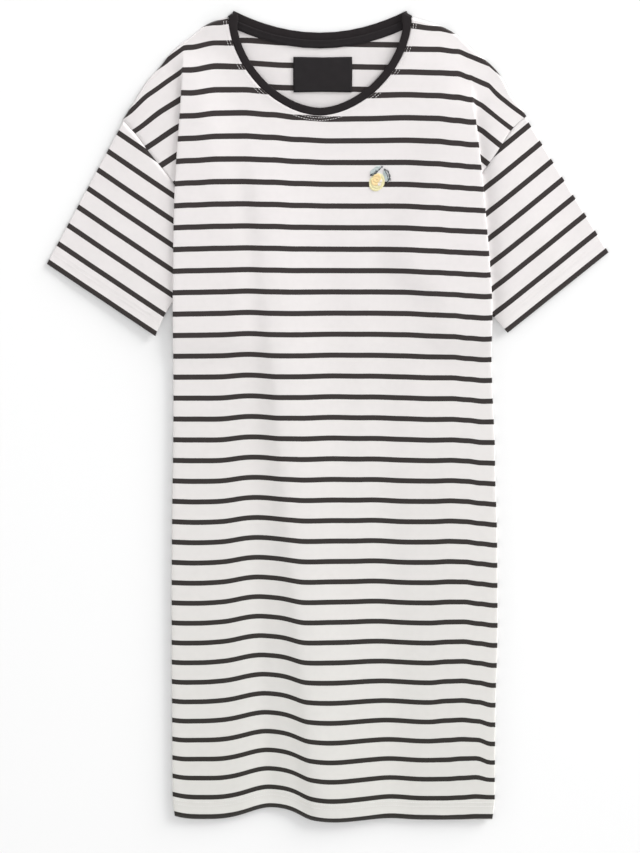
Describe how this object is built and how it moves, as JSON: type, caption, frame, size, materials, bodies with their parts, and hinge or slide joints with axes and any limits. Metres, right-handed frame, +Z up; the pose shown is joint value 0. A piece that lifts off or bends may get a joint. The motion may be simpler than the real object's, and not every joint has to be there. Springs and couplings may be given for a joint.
{
  "type": "nightshirt",
  "caption": "Striped jersey nightshirt with a round neck, drop shoulders and short sleeves, laid out flat.",
  "frame": {"origin": "on the underside of the back panel where the nightshirt rests, on the centre front line, 485 mm above the hem and level with the surface that it lies on", "axes": "+Z up from the surface that it lies on, through back and front; +Y from the hem to the neck; +X to the wearer's left, which is the viewer's right"},
  "size_m": [0.6384, 0.9721, 0.0087],
  "materials": {
    "front": "fine cotton jersey, white with narrow charcoal stripes",
    "back": "fine cotton jersey, white with narrow charcoal stripes",
    "sleeve_left": "fine cotton jersey, white with narrow charcoal stripes",
    "sleeve_right": "fine cotton jersey, white with narrow charcoal stripes",
    "neck_band": "plain black jersey band, folded double",
    "neck_tape": "plain black twill tape",
    "neck_label": "plain black woven satin"
  },
  "bodies": {
    "root": {"front": "front", "back": "back", "sleeve_left": "sleeve_left", "sleeve_right": "sleeve_right", "neck_band": "neck_band", "neck_tape": "neck_tape", "neck_label": "neck_label"}
  },
  "joints": []
}
